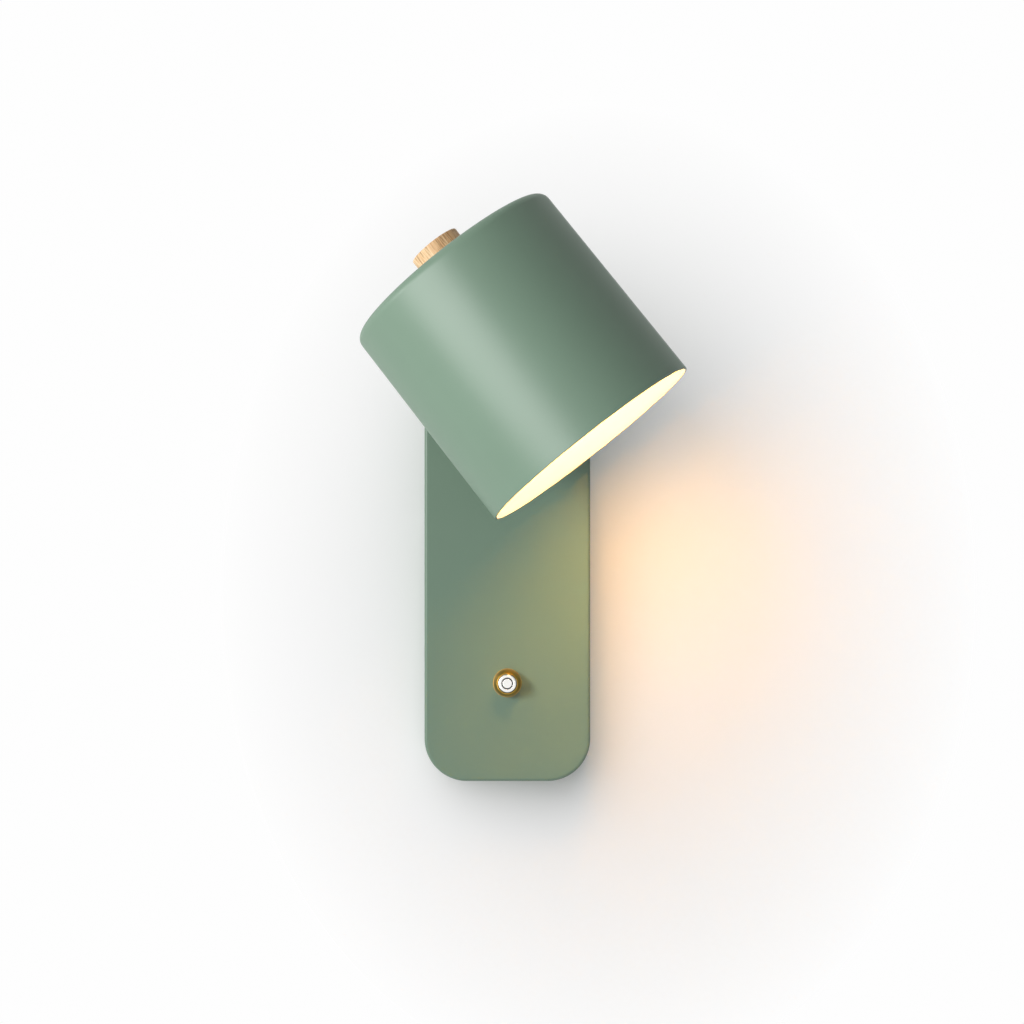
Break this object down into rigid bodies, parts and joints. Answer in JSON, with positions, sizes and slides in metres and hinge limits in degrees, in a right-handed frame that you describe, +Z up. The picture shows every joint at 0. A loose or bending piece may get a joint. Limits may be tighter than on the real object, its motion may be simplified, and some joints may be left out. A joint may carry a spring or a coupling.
{
  "type": "wall reading lamp",
  "caption": "Drum shade with a round knob on a swivel and tilt knuckle, carried by a tall round-cornered back plate with a push switch; mounts flat on a wall.",
  "frame": {"origin": "centre of the back face that lies on the wall", "axes": "+Y into the wall, +Z up, +X to the right as seen from the room"},
  "size_m": [0.1481, 0.1704, 0.2738],
  "materials": {
    "sage_powder_coat": "satin sage green powder coat, white inside the shade",
    "turned_brass": "turned brass, lightly brushed",
    "polished_metal": "polished, nickel plated",
    "zinc_plated_steel": "zinc plated",
    "ash_wood": "pale ash, oiled",
    "white_plastic": "moulded",
    "black_plastic": "moulded",
    "black_rubber": "moulded",
    "glazed_insulator": "glazed",
    "opal_glass": "opal white",
    "brown_wire": "insulation",
    "black_wire": "insulation",
    "blue_wire": "insulation",
    "green_wire": "insulation"
  },
  "bodies": {
    "wall_unit": {"front_cover": "sage_powder_coat", "wall_bracket": "zinc_plated_steel", "cover_screws": "zinc_plated_steel", "cable_grommet": "black_rubber", "terminal_block": "white_plastic", "terminal_tubes": "turned_brass", "terminal_screws": "zinc_plated_steel", "block_screw": "zinc_plated_steel", "earth_screw": "turned_brass", "switch_bezel": "turned_brass", "switch_washer": "zinc_plated_steel", "switch_nut": "turned_brass", "switch_body": "black_plastic", "switch_tags": "turned_brass", "switch_spring": "zinc_plated_steel", "swivel_base": "turned_brass", "base_washer": "zinc_plated_steel", "base_nut": "turned_brass", "stop_pin": "zinc_plated_steel", "live_lead": "brown_wire", "switched_lead": "black_wire", "neutral_lead": "blue_wire", "earth_lead": "green_wire"},
    "swivel": {"swivel_post": "turned_brass", "friction_washer": "black_plastic", "thrust_washer": "zinc_plated_steel", "post_circlip": "zinc_plated_steel", "pivot_screws": "turned_brass", "pivot_washers": "black_plastic", "stem_leads": "blue_wire"},
    "head": {"tilt_tongue": "turned_brass", "saddle_washer": "turned_brass", "shade_nut": "turned_brass", "shade": "sage_powder_coat", "holder_nipple": "zinc_plated_steel", "holder_cap": "white_plastic", "holder_body": "white_plastic", "holder_core": "glazed_insulator", "holder_terminals": "turned_brass", "holder_sleeve": "turned_brass", "holder_contact": "turned_brass", "earth_tag": "turned_brass", "holder_leads": "blue_wire", "head_earth_lead": "green_wire", "knob_insert": "turned_brass", "wood_knob": "ash_wood", "bulb_globe": "opal_glass", "bulb_housing": "white_plastic", "bulb_cap": "zinc_plated_steel", "bulb_tip": "zinc_plated_steel"},
    "button": {"switch_button": "polished_metal"}
  },
  "joints": [
    {"name": "head_swivel", "type": "hinge", "parent": "wall_unit", "child": "swivel", "pos_m": [0, -0.0288, 0.084], "axis": [0, 1, 0], "range_deg": [-126.85, 203.15]},
    {"name": "head_tilt", "type": "hinge", "parent": "swivel", "child": "head", "pos_m": [0, -0.041, 0.084], "axis": [0.7864, 0, 0.6177], "range_deg": [-25.33, 24.67]},
    {"name": "switch_press", "type": "slide", "parent": "wall_unit", "child": "button", "axis": [0, 1, 0], "range_m": [0, 0.0025], "stiffness_N_per_m": 800, "springref_m": -0.002, "deforming": ["switch_spring"]}
  ]
}
